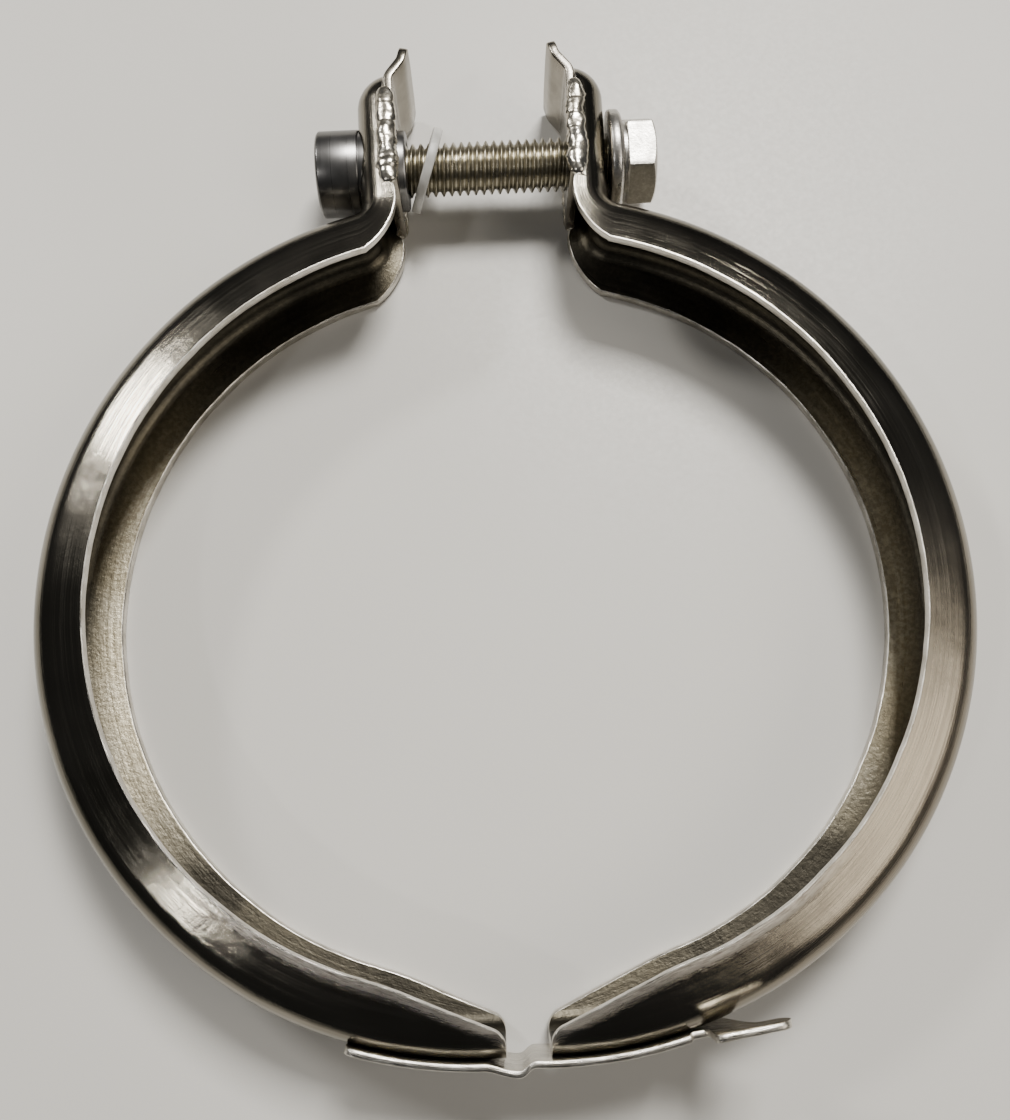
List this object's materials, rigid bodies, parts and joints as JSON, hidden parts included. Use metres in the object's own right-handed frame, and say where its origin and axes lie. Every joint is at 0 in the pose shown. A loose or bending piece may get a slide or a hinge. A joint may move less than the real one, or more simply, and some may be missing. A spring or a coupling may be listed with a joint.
{
  "type": "bolted channel clamp",
  "caption": "Hinged channel-section ring clamp: two pressed steel half-rings joined by a spring strap and drawn together by a hex bolt and round nut through folded ears.",
  "frame": {"origin": "on the ring's mid-plane, midway between the centres of the two half-rings as the clamp stands open", "axes": "+Z along the ring's axis, +Y from the ring's centre towards the bolted ears, +X along the bolt towards its head"},
  "size_m": [0.1274, 0.1447, 0.0203],
  "materials": {
    "shell_steel": "polished stainless, dark reflections",
    "weld": "rough weld metal",
    "strap_steel": "bright spring strip",
    "nut_steel": "turned, dark",
    "bolt_zinc": "yellow zinc plated",
    "washer_steel": "satin plated",
    "nylon": "translucent grey nylon"
  },
  "bodies": {
    "left_half": {"left_shell": "shell_steel", "left_ear_plate": "shell_steel", "left_weld_near": "weld", "left_weld_far": "weld", "hinge_strap_left": "strap_steel", "strap_welds_left": "strap_steel", "clamp_nut": "nut_steel"},
    "right_half": {"right_shell": "shell_steel", "right_ear_plate": "shell_steel", "right_weld_near": "weld", "right_weld_far": "weld", "hinge_strap_right": "strap_steel", "strap_welds_right": "strap_steel"},
    "head_washer": {"bolt_washer": "washer_steel"},
    "bolt": {"clamp_bolt": "bolt_zinc"},
    "retainer": {"retaining_washer": "nylon"}
  },
  "joints": [
    {"name": "bolt_feed", "type": "slide", "parent": "left_half", "child": "head_washer", "axis": [1, 0, 0], "range_m": [-0.017, 0.0032]},
    {"name": "bolt_spin", "type": "hinge", "parent": "head_washer", "child": "bolt", "pos_m": [0.0213, 0.06765, 0], "axis": [1, 0, 0], "range_deg": [-4896, 921.6]},
    {"name": "clamp_swing", "type": "hinge", "parent": "left_half", "child": "right_half", "pos_m": [0, -0.05971, 0], "axis": [0, 0, 1], "range_deg": [-1.48, 7.88]},
    {"name": "retainer_turn", "type": "hinge", "parent": "left_half", "child": "retainer", "pos_m": [-0.0087, 0.06765, 0], "axis": [1, 0, 0], "continuous": true}
  ],
  "couplings": [
    {"joint": "bolt_spin", "follows": "bolt_feed", "rad_per_m": 5026.5},
    {"joint": "clamp_swing", "follows": "bolt_feed", "rad_per_m": -8.0906}
  ]
}
